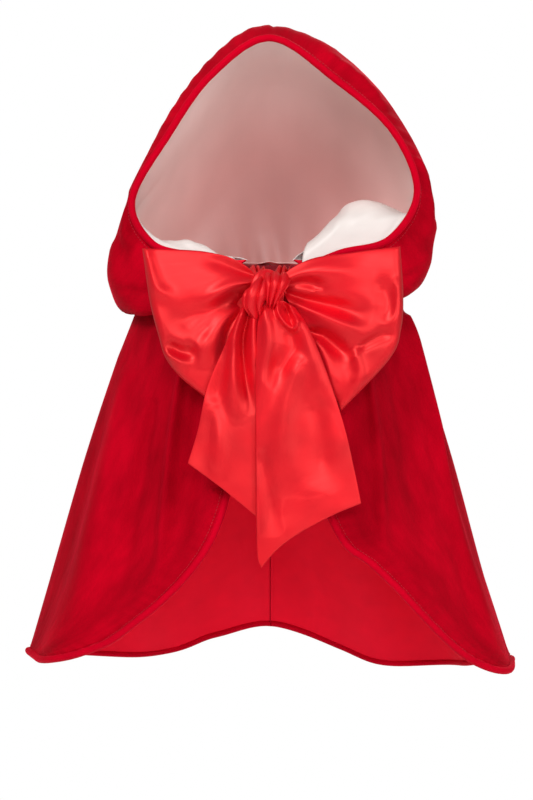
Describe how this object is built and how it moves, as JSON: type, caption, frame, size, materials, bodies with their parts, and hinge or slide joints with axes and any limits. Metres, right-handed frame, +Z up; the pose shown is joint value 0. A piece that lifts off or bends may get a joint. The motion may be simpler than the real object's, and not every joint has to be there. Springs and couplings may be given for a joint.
{
  "type": "hooded cape",
  "caption": "Child's short hooded cape with a cutaway front, piped edges, a lined hood that folds back and a large ribbon bow at the throat.",
  "frame": {"origin": "centre of the neck opening, where the neck holds the cape", "axes": "+Z up along the wearer, -Y the front with the bow, +X the wearer's left"},
  "size_m": [0.5106, 0.3098, 0.6702],
  "materials": {
    "velvet": "crushed pile velvet",
    "piping": "velvet welt",
    "satin": "glossy satin",
    "lining": "soft satin",
    "binding": "woven tape"
  },
  "bodies": {
    "cape": {"hood_rear": "velvet", "hood_rear_lining": "lining", "hood_base": "velvet", "hood_base_lining": "lining", "neck_binding": "binding", "back_panel": "velvet", "back_hem_piping": "piping", "left_side_seam_tape": "binding", "right_side_seam_tape": "binding", "bow_knot": "satin", "left_neck_tie": "satin", "right_neck_tie": "satin"},
    "hood": {"hood_front": "velvet", "hood_front_lining": "lining", "hood_rim_piping": "piping"},
    "left_front": {"left_front_panel": "velvet", "left_front_piping": "piping"},
    "right_front": {"right_front_panel": "velvet", "right_front_piping": "piping"},
    "left_loop": {"bow_left_loop": "satin"},
    "right_loop": {"bow_right_loop": "satin"},
    "left_tail": {"bow_left_tail": "satin"},
    "right_tail": {"bow_right_tail": "satin"}
  },
  "joints": [
    {"name": "hood_fold", "type": "hinge", "parent": "cape", "child": "hood", "pos_m": [0, -0.058, 0], "axis": [-1, 0, 0], "range_deg": [0, 75]},
    {"name": "left_front_swing", "type": "hinge", "parent": "cape", "child": "left_front", "pos_m": [0.11, -0.05, -0.02], "axis": [0, -1, 0], "range_deg": [0, 20]},
    {"name": "right_front_swing", "type": "hinge", "parent": "cape", "child": "right_front", "pos_m": [-0.11, -0.05, -0.02], "axis": [0, 1, 0], "range_deg": [0, 20]},
    {"name": "left_loop_flop", "type": "hinge", "parent": "cape", "child": "left_loop", "pos_m": [-0.004, -0.129, -0.034], "axis": [0, -1, 0], "range_deg": [0, 30]},
    {"name": "right_loop_flop", "type": "hinge", "parent": "cape", "child": "right_loop", "pos_m": [-0.004, -0.129, -0.034], "axis": [0, 1, 0], "range_deg": [0, 30]},
    {"name": "left_tail_swing", "type": "hinge", "parent": "cape", "child": "left_tail", "pos_m": [0.01, -0.143, -0.065], "axis": [-1, 0, 0], "range_deg": [0, 75]},
    {"name": "right_tail_swing", "type": "hinge", "parent": "cape", "child": "right_tail", "pos_m": [-0.02, -0.143, -0.065], "axis": [-1, 0, 0], "range_deg": [0, 75]}
  ]
}
